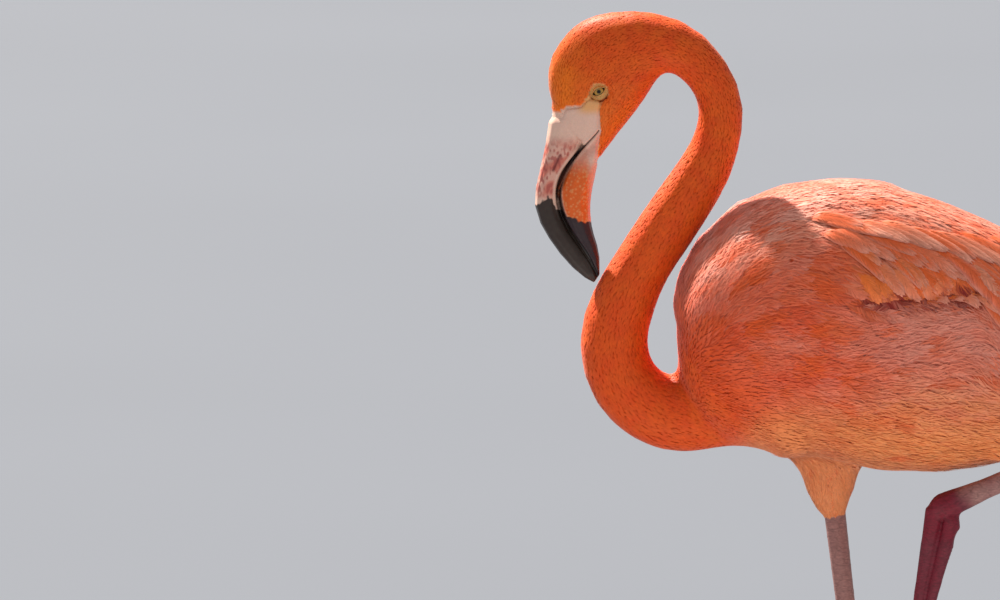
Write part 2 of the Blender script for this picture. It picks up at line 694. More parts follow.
def uneven_lie(roots, facing, spread):
    """The way the feathers lie, with each turned a little from its neighbours."""
    lie = lie_of_feathers(roots, facing)
    sway = RANDOM.normal(0, spread, (len(roots), 1)) * np.cross(facing, lie)
    return flatten(lie + sway, facing)


def feathered(points):
    """False on the bare face, round the eyes and where the thigh ends."""
    bare = inside_outline(points, BARE_FACE) | (eye_gap(points) < 0)
    return ~bare & (points[:, 2] > TROUSER_HEM)


def contour_length(points):
    distance = breast_distance(points)
    length = mix(0.011, FEATHER_LENGTH, ease(0.045, 0.150, distance))
    length = mix(length, 0.014, ease(0.255, 0.300, points[:, 0]))
    length = mix(length, np.minimum(length, 0.026), ease(0.62, 0.85, body_angle(points)))
    trouser = mix(0.0080, 0.0130, ease(0.508, 0.530, points[:, 2]))
    return mix(length, trouser, thigh_share(points))


def tuft_gap(points):
    """Distance between the roots of velvet tufts, 0 where none grow."""
    share = neck_share(points)
    gap = mix(0.00095, 0.00135, ease(0.12, 0.5, spine_place(points)[0]))
    gap = gap / np.sqrt(np.clip(share, 0.25, 1))
    return np.where(feathered(points) & (share > 0.12), gap, 0)


def contour_gap(points):
    """Distance between the roots of contour feathers, 0 where none grow."""
    fair = feathered(points) & (neck_share(points) < 0.50)
    return np.where(fair, contour_length(points) * 0.25, 0)


def barb_gap(points):
    """Distance between the loose barbs that lie over the contour feathers, 0 for none."""
    fair = feathered(points) & (neck_share(points) < 0.8) & (crease_depth(points) < 0.2)
    gap = mix(0.0017, 0.0024, ease(0.06, 0.14, breast_distance(points)))
    return np.where(fair, mix(gap, 0.0016, thigh_share(points)), 0)


def scattered(spacing_of, crowd=5.0):
    """Even but irregular roots over the skin, spaced by a distance that may vary."""
    skin.data.calc_loop_triangles()
    triangles = table_of(skin.data.loop_triangles, "vertices")
    points, normals = vertex_array(skin), vertex_array(skin, "normal")
    corners = points[triangles]
    area = np.linalg.norm(np.cross(corners[:, 1] - corners[:, 0], corners[:, 2] - corners[:, 0]),
                          axis=1) / 2
    spacing = spacing_of(corners.mean(axis=1))
    weight = np.where(spacing > 0, area / np.maximum(spacing, 1e-4) ** 2, 0)
    count = int(weight.sum() * crowd)
    picked = RANDOM.choice(len(triangles), size=count, p=weight / weight.sum())
    a, b = RANDOM.random(count), RANDOM.random(count)
    flip = a + b > 1
    a, b = np.where(flip, 1 - a, a), np.where(flip, 1 - b, b)
    share = np.stack([1 - a - b, a, b], axis=1)[:, :, None]
    places = (points[triangles[picked]] * share).sum(axis=1)
    facing = unit((normals[triangles[picked]] * share).sum(axis=1))
    tree = search_tree(places)
    free, kept = np.ones(count, bool), []
    for i, gap in enumerate(spacing[picked]):
        if free[i]:
            kept.append(i)
            for _, j, _ in tree.find_range(places[i], gap):
                free[j] = False
    places, facing = places[kept], facing[kept]
    fair = feathered(places)
    return places[fair], facing[fair]


# ---- solid tufts and vanes

BAKE_MAP = "OFBake"
BAKE_PATCH = 0.003  # width of one feather's patch on the bake map
SPINDLE = np.array([(0, 3, 2), (0, 2, 1), (3, 5, 2), (2, 5, 1),
                    (0, 4, 3), (0, 1, 4), (3, 4, 5), (4, 1, 5)])
SPINDLE_RIM = np.array([True, True, False, True, False, True])
SPINDLE_UV = np.array([(0, -1), (-1, 0), (0, 0), (1, 0), (0, 0), (0, 1)]) * BAKE_PATCH / 2
TUFT_SHADES = np.array([0.98, 1.0, 1.0, 1.0, 1.0, 1.06])
BLADE_THICKNESS = 0.0003
BARB_THICKNESS = 0.00016
BARB_LIFTS = (0.00010, 0.00018)  # how high barbs lie on the vane at their roots and middles
VANE_END = 0.985  # the blunt tip's width is the width here

# Shape of a vane: rows and columns of its blade, barbs on each side, where the first leaves the
# shaft, how far they run on, how far they pass the tip, where the vane is widest, how arched and
# how blunt it is, width of a barb, contrast between barbs, the share of its length over which it
# rises, and how far barbs take the colour of the place that they lie on.
Form = namedtuple("Form", "grid barbs first reach fringe widest camber blunt barb_width "
                          "contrast rise blend")


def batch(points, faces, rim, tint, grain, uv):
    """Many closed bodies of one kind, in rows that a mesh takes."""
    points, tint, grain = (rows.reshape(-1, 3) for rows in (points, tint, grain))
    return {"points": points, "faces": faces.reshape(-1, 3), "rim": rim, "tint": tint,
            "grain": grain, "uv": uv.reshape(-1, 2)}


def spindles(root, middle, tip, side, thick, tints, grain, uv):
    """Thin closed slivers: root, four corners round the middle, and tip."""
    count = len(root)
    points = np.stack([root, middle - side, middle + thick, middle + side, middle - thick * 0.6,
                       tip], axis=1)
    faces = SPINDLE[None] + np.arange(count)[:, None, None] * len(SPINDLE_RIM)
    return batch(points, faces, np.tile(SPINDLE_RIM, count), tints, grain, uv)


def feather_piece(name, batches, material):
    """One mesh object from batches of slivers and vanes."""
    starts = np.cumsum([0] + [len(part["points"]) for part in batches])
    faces = np.concatenate([part["faces"] + start for part, start in zip(batches, starts)])
    points, rim, tint, grain, uv = (np.concatenate([part[key] for part in batches])
                                    for key in ("points", "rim", "tint", "grain", "uv"))
    made = mesh_object(name, points, faces)
    dress(made, material, tint, grain)
    corners = table_of(made.data.loops, "vertex_index", 1).ravel()
    layer = made.data.uv_layers.new(name=BAKE_MAP)
    layer.uv.foreach_set("vector", uv[corners].astype(np.float32).ravel())
    sharp = made.data.attributes.new("sharp_edge", "BOOLEAN", "EDGE")
    sharp.data.foreach_set("value", rim[table_of(made.data.edges, "vertices", 2)].all(axis=1))
    return made


def on_skin(places, facing):
    """The nearest places on the skin, and its normals there, where it faces the same way."""
    spots, normals = places.copy(), facing.copy()
    for i, place in enumerate(places):
        spot, face, _, gap = SURFACE.find_nearest(place)
        if gap < SEATED and face.dot(Vector(facing[i])) > SAME_SIDE:
            spots[i], normals[i] = spot, face
    return spots, normals


def velvet(roots, facing, lie, length, width, lift, base, thick, tint, uv):
    """Short tufts that stand a little off the skin."""
    count = len(roots)
    side = np.cross(lie, facing)
    ground = roots + facing * base[:, None]
    middle = ground + lie * (length * 0.45)[:, None] + facing * (length * lift * 0.5)[:, None]
    middle = middle + side * (RANDOM.normal(0, 0.06, count) * length)[:, None]
    end, end_facing = on_skin(roots + lie * length[:, None], facing)
    tip = end + end_facing * (base + length * lift)[:, None]
    shade = RANDOM.normal(1, 0.05, (count, 1, 1))
    tints = tint[:, None] * shade * TUFT_SHADES[:, None]
    grain = np.stack([RANDOM.random((count, 6)) * 0.3 + RANDOM.random((count, 1)) * 90,
                      np.broadcast_to(TUFT_SHADES, (count, 6)), np.zeros((count, 6))], axis=2)
    return spindles(ground - facing * 0.0002, middle, tip, side * (width / 2)[:, None],
                    facing * (width * thick)[:, None], tints, grain, uv[:, None] + SPINDLE_UV)


def half_width(t, form):
    """Half width along a feather from 0 at its root to 1 at its tip."""
    base = 0.30 + 0.70 * ease(0, form.widest, t)
    fall = np.clip(t - form.widest, 0, 1) / (1.02 - form.widest)
    return base * np.sqrt(np.clip(1 - fall ** (1.4 + 1.8 * form.blunt), 0, 1))


def along_path(table, t):
    """Rows of a path at places t, going on straight beyond its end."""
    place = t * (table.shape[1] - 1)
    low = np.clip(np.floor(place), 0, table.shape[1] - 2).astype(int)
    share = (place - low)[..., None]
    a = np.take_along_axis(table, low[..., None], 1)
    b = np.take_along_axis(table, low[..., None] + 1, 1)
    return a + (b - a) * share


def traced(roots, facing, lie, length, rows, turn=0.0):
    """Middle line of each feather laid over the skin: points, headings and normals."""
    count = len(roots)
    centre, heading, normal = (np.empty((count, rows, 3)) for _ in range(3))
    centre[:, 0], heading[:, 0], normal[:, 0] = roots, lie, facing
    step = (length / (rows - 1))[:, None]
    angle = np.broadcast_to(turn, (count,))[:, None] / (rows - 1)
    for r in range(1, rows):
        before = heading[:, r - 1]
        ahead = centre[:, r - 1] + before * step
        for i in range(count):
            place, face, _, _ = SURFACE.find_nearest(ahead[i])
            ok = place is not None and face.dot(Vector(normal[i, r - 1])) > SAME_SIDE
            centre[i, r] = place if ok else ahead[i]
            normal[i, r] = face if ok else normal[i, r - 1]
        normal[:, r] = unit(0.4 * normal[:, r] + 0.6 * normal[:, r - 1])
        bent = before * np.cos(angle) + np.cross(normal[:, r], before) * np.sin(angle)
        heading[:, r] = flatten(bent, normal[:, r])
    return centre, heading, normal


def blade_grid(rows, columns):
    """Faces of a closed blade, upper side then lower, and the points inside its rim."""
    index = np.arange(rows * columns).reshape(rows, columns)
    inner = index[1:-1, 1:-1].ravel()
    lower = index.copy()
    lower[1:-1, 1:-1] = rows * columns + np.arange(inner.size).reshape(rows - 2, columns - 2)

    def sheet(g):
        a, b, c, d = g[:-1, :-1], g[:-1, 1:], g[1:, 1:], g[1:, :-1]
        return np.concatenate([np.stack([a, b, c], -1).reshape(-1, 3),
                               np.stack([a, c, d], -1).reshape(-1, 3)])

    return np.concatenate([sheet(index), sheet(lower)[:, ::-1]]), inner


def vane_batches(path, length, width, tints, uv, lift, base, form):
    """Closed thin vanes, each with rows of barbs that fan out from the shaft past its rim.

    Places on a vane are t along it, 0 to 1, and c across it, -1 to 1.
    """
    centre, heading, normal = path
    count = len(centre)
    lift, base = (np.broadcast_to(v, (count,))[:, None] for v in (lift, base))
    size, wide = length[:, None], width[:, None]
    roll = RANDOM.normal(0, 0.06, (count, 1))
    root_tint, tip_tint, rim_tint = (np.broadcast_to(v, (count, 3))[:, None] for v in tints)
    seed = RANDOM.random((count, 1)) * 60

    def place(t, c, half, raised=0.0):
        face = unit(along_path(normal, np.clip(t, 0, 1)))
        across = np.cross(unit(along_path(heading, np.clip(t, 0, 1))), face)
        off = half * c * wide / 2
        rise = ease(0.0, form.rise, t) if form.rise else 1.0
        high = base * rise + lift * size * t - form.camber * wide * (c * half) ** 2
        high = (high + roll * off + raised)[..., None]
        return along_path(centre, t) + across * off[..., None] + face * high, face

    def colour(t, c):
        shade = mix(root_tint, tip_tint, (np.clip(t, 0, 1) ** 1.2)[..., None])
        edge = 0.6 * np.abs(c) ** 3 + 0.6 * ease(0.78, 1.0, t)
        return mix(shade, rim_tint, np.clip(edge, 0, 1)[..., None])

    def streaks(t, c, half):
        run = size * t * 1000
        out = c * half * wide * 500
        return np.stack([(run - 1.3 * np.abs(out)) * 1.4, out * 0.3,
                         np.broadcast_to(seed, out.shape)], axis=-1)

    def patch(t, c):
        return uv[:, None] + np.stack([c / 2, np.clip(t, 0, 1.1) - 0.5], -1) * BAKE_PATCH

    def blades():
        rows, columns = form.grid
        t, c = (np.broadcast_to(v.ravel(), (count, v.size)) for v in np.meshgrid(
            np.linspace(0, 1, rows) ** 0.9, np.linspace(-1, 1, columns), indexing="ij"))
        half = half_width(np.minimum(t, VANE_END), form)
        upper, face = place(t, c, half)
        faces, inner = blade_grid(rows, columns)
        under = upper[:, inner] - face[:, inner] * BLADE_THICKNESS
        rim = np.ones(t.shape[1] + inner.size, bool)
        rim[inner] = rim[t.shape[1]:] = False

        def both(table):
            return np.concatenate([table, table[:, inner]], axis=1)

        return batch(np.concatenate([upper, under], axis=1),
                     faces[None] + (np.arange(count) * rim.size)[:, None, None],
                     np.tile(rim, count), both(colour(t, c)), both(streaks(t, c, half)),
                     both(patch(t, c)))

    def barbs():
        hand = np.tile([-1.0, 1.0], form.barbs)[None]
        t0 = np.repeat(np.linspace(form.first, 0.93, form.barbs), 2)[None]
        t0 = t0 + RANDOM.normal(0, 0.015, (count, 2 * form.barbs))
        t1 = t0 + form.reach * (1 - 0.35 * t0) + RANDOM.normal(0, 0.03, t0.shape)
        t1 = np.minimum(t1, 1 + form.fringe * RANDOM.uniform(0.3, 1.1, t0.shape))
        c0 = np.broadcast_to(hand * 0.06, t0.shape)
        c1 = hand * (RANDOM.uniform(0.88, 1.08, t0.shape) - 0.45 * ease(0.9, 1.1, t1))
        tm, cm = (t0 + t1) / 2, c0 + (c1 - c0) * 0.52
        half0 = half_width(t0, form)
        half1 = np.maximum(half_width(np.minimum(t1, VANE_END), form), 0.34)
        half_m = np.maximum(half_width(np.minimum(tm, VANE_END), form), 0.3)
        p0, _ = place(t0, c0, half0, BARB_LIFTS[0])
        p1, _ = place(t1, c1, half1, RANDOM.uniform(-0.0001, 0.0003, t0.shape))
        pm, up = place(tm, cm, half_m, BARB_LIFTS[1])
        spread = size * (0.93 - form.first) / form.barbs * form.barb_width
        spread = spread * RANDOM.uniform(0.8, 1.2, t0.shape)
        beam = np.cross(unit(p1 - p0), up) * spread[..., None]
        shade = RANDOM.normal(1, form.contrast, t0.shape)[..., None, None]
        t, c, half = (np.stack([a] + [m] * 4 + [b], -1).reshape(count, -1)
                      for a, m, b in ((t0, tm, t1), (c0, cm, c1), (half0, half_m, half1)))
        tone = colour(t, c).reshape(count, -1, 6, 3) * shade
        if form.blend:
            flat = pm.reshape(-1, 3)
            local = plumage_colour(flat).reshape(count, -1, 1, 3) * shade
            crease = crease_depth(flat).reshape(count, -1, 1, 1)
            tone = mix(tone, local, np.maximum(form.blend, crease))
        rows = (v.reshape(-1, 3) for v in (p0, pm, p1, beam, up * BARB_THICKNESS))
        return spindles(*rows, tone, streaks(t, c, half), patch(t, c))

    return [blades(), barbs()]


def neck_unwrap(points):
    """Place on a map of head and neck: along the feather line, and round it."""
    run, _, tangent, centre = spine_place(points)
    away = points - centre
    upward = np.stack([-tangent[:, 2], np.zeros(len(points)), tangent[:, 0]], axis=1)
    angle = np.arctan2(away[:, 1], (away * upward).sum(axis=1)) / math.tau + 0.5
    return np.stack([run, angle], axis=1) * 0.98 + 0.01


def body_unwrap(points):
    """Place on a map of the body: from breast to tail, and round its axis."""
    angle = np.arctan2(points[:, 1], axis_height(points) - points[:, 2]) / math.tau + 0.5
    run = (points[:, 0] - BODY_AXIS[0, 0] + 0.02) / (np.ptp(BODY_AXIS[:, 0]) + 0.04)
    return np.clip(np.stack([run, angle], axis=1), 0, 1) * 0.98 + 0.01


# ---- coat of short feathers

TUFTS_TO_PIECE, FEATHERS_TO_PIECE, BARBS_TO_PIECE = 22000, 800, 20000
TUFT_LENGTHS = (0.0036, 0.0060, 0.0095)  # on the face, the neck and the breast
TUFT_WIDTHS = (0.0014, 0.0021)  # on the face and the neck
CONTOUR_FORM = Form(grid=(5, 3), barbs=13, first=0.34, reach=0.36, fringe=0.17, widest=0.55,
                    camber=0.10, blunt=0.5, barb_width=0.52, contrast=0.07, rise=None, blend=0.5)


def shared_out(order, most):
    """Numbered lots of feathers, in order along the bird, of about the given number or fewer."""
    return enumerate(np.array_split(order, math.ceil(len(order) / most)), 1)


def tuft_pieces(name, most, place, unwrap, material, roots, *rows):
    """Pieces of tufts, in order of their place along the bird."""
    return [feather_piece(f"{name}_{number}", [velvet(roots[lot], *(row[lot] for row in rows),
                                                      unwrap(roots[lot]))], material)
            for number, lot in shared_out(np.argsort(place), most)]


def velvet_coat():
    """Velvet of head, neck and upper breast."""
    roots, facing = scattered(tuft_gap)
    count = len(roots)
    run = spine_place(roots)[0]
    share = neck_share(roots)
    length = mix(*TUFT_LENGTHS[:2], ease(0.10, 0.6, run))
    length = mix(TUFT_LENGTHS[2], length, ease(0.1, 0.9, share))
    length = length * RANDOM.uniform(0.8, 1.2, count)
    length = np.minimum(length, np.clip(eye_gap(roots), 0.0012, 1))
    lie = uneven_lie(roots, facing, SIDEWAYS)
    width = mix(*TUFT_WIDTHS, ease(0.1, 0.6, run)) * RANDOM.uniform(0.8, 1.2, count)
    base = mix(0.0017, 0.0004, ease(0.15, 0.85, share))
    base = base * mix(0.5, 1, ease(0.12, 0.30, share))
    lift, thick = mix(0.040, 0.062, share), mix(0.06, 0.085, share)
    return tuft_pieces("coat_neck", TUFTS_TO_PIECE, run, neck_unwrap, VELVET, roots, facing, lie,
                       length, width, lift, base, thick, plumage_colour(roots))


def contour_tints(roots, middles):
    """A colour for each feather: its place's, or now and then that of a brighter patch."""
    back, covert = zones(roots)[:2]
    tint = plumage_colour(middles)
    single = RANDOM.random(len(roots)) < patch_chance(roots)
    patch = mix(mix(PATCH, OCHRE_PATCH, covert), SIDE, 0.25)
    tint = np.where(single[:, None], mix(tint, patch, 0.75), tint)
    return tint * RANDOM.normal(1, 0.05, (len(roots), 1))


def held_down(path, length):
    """True for feathers whose path keeps to the skin and takes no leap across a gap."""
    points = path[0]
    off = np.array([SURFACE.find_nearest(Vector(p))[3] for p in points[:, -1]])
    leap = np.linalg.norm(np.diff(points, axis=1), axis=2).max(axis=1) / length
    return (off < SEATED) & (leap < 0.36)


def contour_coat():
    """Contour feathers of breast, body and thigh."""
    roots, facing = scattered(contour_gap)
    lie = uneven_lie(roots, facing, SIDEWAYS)
    length = contour_length(roots) * RANDOM.uniform(0.88, 1.15, len(roots))
    hairy = zones(roots)[2]
    width = length * mix(0.50, 0.36, hairy) * RANDOM.uniform(0.9, 1.1, len(roots))
    tint = contour_tints(roots, roots + lie * (length * 0.6)[:, None])
    away = line_place(roots + lie * length[:, None], CREASE)[1]
    over = bell(away, 0.008) * (roots[:, 2] > 0.672) * (np.abs(roots[:, 1]) > 0.02)
    lift = mix(0.014, 0.020, ease(0.05, 0.13, breast_distance(roots))) + 0.09 * over
    pieces = []
    for number, lot in shared_out(np.argsort(roots[:, 0]), FEATHERS_TO_PIECE):
        path = traced(roots[lot], facing[lot], lie[lot], length[lot], 5)
        held = held_down(path, length[lot])
        path, lot = [rows[held] for rows in path], lot[held]
        tints = (tint[lot] * 0.97, tint[lot], mix(tint[lot], CREAM, 0.22))
        made = vane_batches(path, length[lot], width[lot], tints, body_unwrap(roots[lot]),
                            lift[lot], 0.0008, CONTOUR_FORM)
        pieces.append(feather_piece(f"coat_body_{number}", made, CONTOUR))
    return pieces, roots + lie * (length * 0.78)[:, None], tint


def loose_barbs(centres, tints):
    """Single hair-like barbs over the body, in the colour of the feather under each."""
    roots, facing = scattered(barb_gap)
    count = len(roots)
    lie = uneven_lie(roots, facing, HAIRY_SIDEWAYS)
    scale = contour_length(roots) / FEATHER_LENGTH
    length = (0.0050 + 0.0065 * scale) * RANDOM.uniform(0.7, 1.3, count)
    width = (0.0006 + 0.0004 * scale) * RANDOM.uniform(0.8, 1.2, count)
    base = 0.0007 + 0.0010 * scale
    tree = search_tree(centres)
    under = [tree.find(p)[1] for p in roots + lie * (length * 0.6)[:, None]]
    tint = mix(plumage_colour(roots + lie * length[:, None]), tints[under], 0.7)
    lift, thick = np.full(count, 0.05), np.full(count, 0.08)
    return tuft_pieces("coat_down", BARBS_TO_PIECE, roots[:, 0], body_unwrap, CONTOUR, roots,
                       facing, lie, length, width, lift, base, thick, tint)


contour_pieces, feather_tips, feather_tints = contour_coat()
coat = velvet_coat() + contour_pieces + loose_barbs(feather_tips, feather_tints)

# ---- long feathers, tract by tract

Tract = namedtuple("Tract", "name count first last lengths width droops bend lift base tints")

# Each tract: name, number on each side, first and last root, as (x, z) seen from the side or
# (x, y) seen from above, length at the first and last, width, droop at the first and last,
# bend along each feather, lift, base, and root, tip and rim colours.
BLACK = (QUILL_BLACK, QUILL_BLACK, QUILL_RIM)
TRACTS = [
    ("tail_coat", 6, (0.222, 0.003), (0.216, 0.024), (0.074, 0.062), 0.013, (12, 10), 4,
     0.004, 0.0012, (REAR, BACK, CREAM)),
    ("primaries", 8, (0.150, 0.634), (0.235, 0.606), (0.120, 0.082), 0.011, (16, 13), 3,
     0.006, 0.0012, BLACK),
    ("coverts_rear", 15, (0.085, 0.664), (0.215, 0.622), (0.050, 0.042), 0.012, (40, 22), 10,
     0.040, 0.0020, (PATCH, REAR, CREAM)),
    ("coverts_low", 14, (-0.012, 0.687), (0.085, 0.691), (0.027, 0.036), 0.0095, (56, 52), 6,
     0.070, 0.0016, (OCHRE_PATCH, COVERT, COVERT)),
    ("coverts_mid", 17, (-0.005, 0.696), (0.190, 0.646), (0.040, 0.050), 0.0115, (44, 28), 14,
     0.035, 0.0024, (COVERT, WING_ROSE, WING_EDGE)),
    ("tertials", 11, (0.030, 0.706), (0.150, 0.664), (0.130, 0.100), 0.0125, (34, 22), 34,
     0.010, 0.0040, (COVERT, CREAM, CREAM)),
    ("scapulars_low", 24, (-0.034, 0.708), (0.090, 0.694), (0.044, 0.066), 0.0105, (30, 40), 26,
     0.020, 0.0022, (PATCH, COVERT, WING_EDGE)),
    ("scapulars_mid", 24, (-0.042, 0.715), (0.100, 0.699), (0.044, 0.066), 0.0105, (22, 35), 20,
     0.020, 0.0024, (PATCH, WING_ROSE, WING_EDGE)),
    ("scapulars_high", 26, (-0.050, 0.722), (0.110, 0.704), (0.044, 0.066), 0.0105, (14, 30), 14,
     0.020, 0.0026, (PATCH, BACK, WING_EDGE)),
]
LONG_FORM = Form(grid=(14, 5), barbs=None, first=0.15, reach=None, fringe=0.05, widest=0.45,
                 camber=0.12, blunt=0.45, barb_width=0.60, contrast=0.09, rise=0.35, blend=None)
BARBS_TO_METRE = 620
BARB_LENGTH = 0.013  # along a long feather's shaft


def long_roots(tract):
    """Roots down both sides, the skin's normals, the feathers' headings and bends, and order."""
    rows = []
    for sign in (-1, 1):
        for f in np.linspace(0, 1, tract.count):
            along, level = (a + (b - a) * f + RANDOM.normal(0, 0.0012)
                            for a, b in zip(tract.first, tract.last))
            start, cast = Vector((along, sign * 0.2, level)), Vector((0, -sign, 0))
            if tract.name == "tail_coat":
                start, cast = Vector((along, sign * level, 1.0)), Vector((0, 0, -1))
            hit, face, _, _ = SURFACE.ray_cast(start, cast)
            if hit is None:
                continue
            droop = tract.droops[0] + (tract.droops[1] - tract.droops[0]) * f
            droop = math.radians(droop + RANDOM.normal(0, 3))
            turn = sign * math.radians(tract.bend) * RANDOM.uniform(0.7, 1.3)
            rows.append((tuple(hit), tuple(face), (math.cos(droop), 0, -math.sin(droop)), turn, f))
    roots, facing, lie, turn, order = (np.array(column) for column in zip(*rows))
    return roots, facing, flatten(lie, facing), turn, order


def tract_coat(tract):
    """One row of long feathers down both sides, drawn from its first root to its last."""
    roots, facing, lie, turn, order = long_roots(tract)
    size = len(order)
    length = tract.lengths[0] + (tract.lengths[1] - tract.lengths[0]) * order
    length = length * RANDOM.uniform(0.88, 1.1, size)
    width = tract.width * RANDOM.uniform(0.85, 1.12, size)
    path = traced(roots, facing, lie, length, LONG_FORM.grid[0], turn)
    tone = RANDOM.normal(1, 0.06, (size, 1))
    pick = (RANDOM.random(size) < 0.38)[:, None]
    root, tip, rim = (np.tile(v, (size, 1)) * tone for v in tract.tints)
    if tract.tints is not BLACK:
        tip = np.where(pick, mix(tip, PATCH, 0.8), tip)
        root = np.where(pick, PATCH, root)
    form = LONG_FORM._replace(barbs=int(np.mean(tract.lengths) * BARBS_TO_METRE),
                              reach=BARB_LENGTH / tract.lengths[0])
    made = vane_batches(path, length, width, (root, tip, rim), body_unwrap(roots), tract.lift,
                        tract.base + 0.0008 * (1 - order), form)
    return feather_piece(tract.name, made, FLIGHT)


long_feathers = [tract_coat(Tract(*row)) for row in TRACTS]

# ---- bill

# Upper edge of the bill's black tip on the upper and the lower jaw: x, and height at each.
BLACK_UPPER = ([-0.2345, -0.2275, -0.2254, -0.2226, -0.2198],
               [0.7245, 0.7298, 0.7322, 0.7287, 0.7224])
BLACK_LOWER = ([-0.2163, -0.2100, -0.2030, -0.1960], [0.7210, 0.7168, 0.7140, 0.7133])


def bill_forms(points):
    """Shift along the normal and tint of the horn at each point of the closed bill."""
    x, y, z = points.T
    run, away, ahead = line_place(points, smooth_curve(GAPE, 60))
    side = ease(0.0, 0.0025, np.abs(y))
    upper = ahead * np.sign((ahead[x < -0.232]).mean()) > 0
    fine, broad = mottle(points, 0.0030, 11), mottle(points, 0.010, 12)
    creases = mottle(points * [1.0, 1.0, 0.50], 0.0019, 14)

    slot = mix(0.00035, 0.00120, ease(0.02, 0.35, run)) * mix(1, 0.6, run > 0.6)
    groove = bell(away, slot) * side
    rim = bell(away - slot - 0.0011, 0.0009) * side
    wrinkled = upper * ease(0.776, 0.762, z) * ease(0.728, 0.736, z)
    wrinkled = wrinkled * ease(0.0022, 0.0048, away)
    nostril = bell(line_place(points, NOSTRIL)[1], 0.0010) * upper * (np.abs(y) > 0.002)
    pits = np.array([noise.voronoi(Vector(p) / 0.0023)[0][0] for p in points])
    dots = ease(0.46, 0.30, pits) * ~upper
    shift = (-0.0010 * groove + 0.00035 * rim + 0.00050 * (creases - 0.5) * wrinkled
             - 0.0007 * nostril + 0.00014 * dots * (run < 0.62))

    top = painted(BILL_PALE, (BILL_PINK, wrinkled * (0.35 + 0.65 * ease(0.25, 0.6, broad))),
                  (BILL_RED, wrinkled * ease(0.56, 0.34, creases) * 0.8),
                  (FACE_OCHRE, ease(0.788, 0.7950, z) * ease(-0.209, -0.199, x)))
    pale = np.clip(ease(0.745, 0.768, z) + ease(-0.1995, -0.1945, x) * 0.55, 0, 1)
    low = painted(BILL_ORANGE, (BILL_PIT, dots * 0.85),
                  (mix(BILL_PALE, BILL_PINK, 0.5 * broad), pale))
    reach = mix(0.0010, 0.0026, ease(0.12, 0.42, run))
    gap = ease(reach + 0.0007, reach - 0.0003, away) * ~upper * side
    gap = gap * ease(0.10, 0.20, run) * ease(0.74, 0.62, run)

    edge = np.where(upper, np.interp(x, *BLACK_UPPER), np.interp(x, *BLACK_LOWER))
    black = ease(0.0006, -0.0006, z - (edge + 0.0030 * (fine - 0.5)))
    dark = np.where(upper[:, None], mix(BILL_BLACK, BILL_BROWN, fine * 0.6), BILL_DUSK)
    return shift, painted(np.where(upper[:, None], top, low), (BILL_PALE, rim * 0.8),
                          (GAPE_DARK, gap * 0.93), (NOSTRIL_RED, nostril * 0.9), (dark, black),
                          (GROOVE_BLACK, groove ** 0.7 * 0.97))


def closed_bill():
    bill = sculpted("bill", BILL, voxel=0.0005, rounds=4, inflate=0.00028)
    base = 0.9 * ease(0.742, 0.764, vertex_array(bill)[:, 2]) + 0.04
    points = relaxed(bill, base, 60)
    border = line_place(points, BARE_FACE[:10])[1]
    ridge = ease(-0.212, -0.217, points[:, 0])
    tuck = 0.0008 * ease(0.0030, 0.0, border)
    tuck = tuck + 0.0028 * ridge * ease(0.0085, 0.0005, border)
    shift, tint = bill_forms(points)
    displaced(bill, shift - tuck)
    dress(bill, HORN, tint, points * HORN_GRAIN)
    return bill


bill = closed_bill()

# ---- eyes and lids

BALL_RINGS, BALL_TURNS = 44, 56
LID_RINGS, LID_TURNS = 14, 80
LID_WIDTH = 0.0010  # how far the lids' ring runs past the bare ring's edge


def ring_faces(rings, turns, flip):
    grid = np.arange(rings * turns).reshape(rings, turns)
    following = np.roll(grid, -1, axis=1)
    quads = np.stack([grid[:-1], following[:-1], following[1:], grid[1:]], -1).reshape(-1, 4)
    return quads[:, ::-1] if flip else quads


def face_depth(x, z, sign):
    """Distance of the face's skin from the bird's middle plane, seen from one side."""
    hit, _, _, _ = SURFACE.ray_cast(Vector((x, sign * 0.08, z)), Vector((0, -sign, 0)))
    return abs(hit.y) if hit else 0.016


def ball_depth(sign):
    """Distance of the eyeball's centre from the middle plane, from the face round its socket."""
    x, z = EYE_PLACE
    level = [face_depth(x + EYE_CLEAR * math.cos(a), z + EYE_CLEAR * math.sin(a), sign)
             for a in np.linspace(0, math.tau, 12, endpoint=False)]
    return np.mean(level) + EYE_BULGE - EYE_RADIUS


def close_ends(obj):
    """Fills the open ends of a surface of rings."""
    bm = bmesh.new()
    bm.from_mesh(obj.data)
    bmesh.ops.holes_fill(bm, edges=[e for e in bm.edges if e.is_boundary])
    bmesh.ops.recalc_face_normals(bm, faces=bm.faces)
    bm.to_mesh(obj.data)
    bm.free()
    obj.data.shade_smooth()


def eyeball(name, sign):
    """A sphere whose tint gives it a pupil, a yellow iris and a dark rim."""
    polar = np.linspace(0.02, math.pi - 0.02, BALL_RINGS)
    angle = np.linspace(0, math.tau, BALL_TURNS, endpoint=False)
    centre = np.array([EYE_PLACE[0], sign * ball_depth(sign), EYE_PLACE[1]])
    local = np.stack([
        np.outer(np.sin(polar), np.cos(angle)),
        sign * np.outer(np.cos(polar), np.ones(BALL_TURNS)),
        np.outer(np.sin(polar), np.sin(angle)),
    ], axis=2).reshape(-1, 3)
    faces = ring_faces(BALL_RINGS, BALL_TURNS, sign < 0)
    ball = mesh_object(name, local * EYE_RADIUS + centre, faces)
    close_ends(ball)
    points = vertex_array(ball)
    facing = unit(points - centre) @ np.array([0.0, sign, 0.0])
    degrees = np.degrees(np.arccos(np.clip(facing, -1, 1)))
    iris = mix(np.array(IRIS_YELLOW) * 0.5, IRIS_YELLOW, ease(14, 26, degrees))
    shade = painted(iris, (PUPIL, ease(15, 13, degrees)), (IRIS_RIM, ease(36, 41, degrees)))
    dress(ball, WET, shade, points * EYE_GRAIN)
    return ball


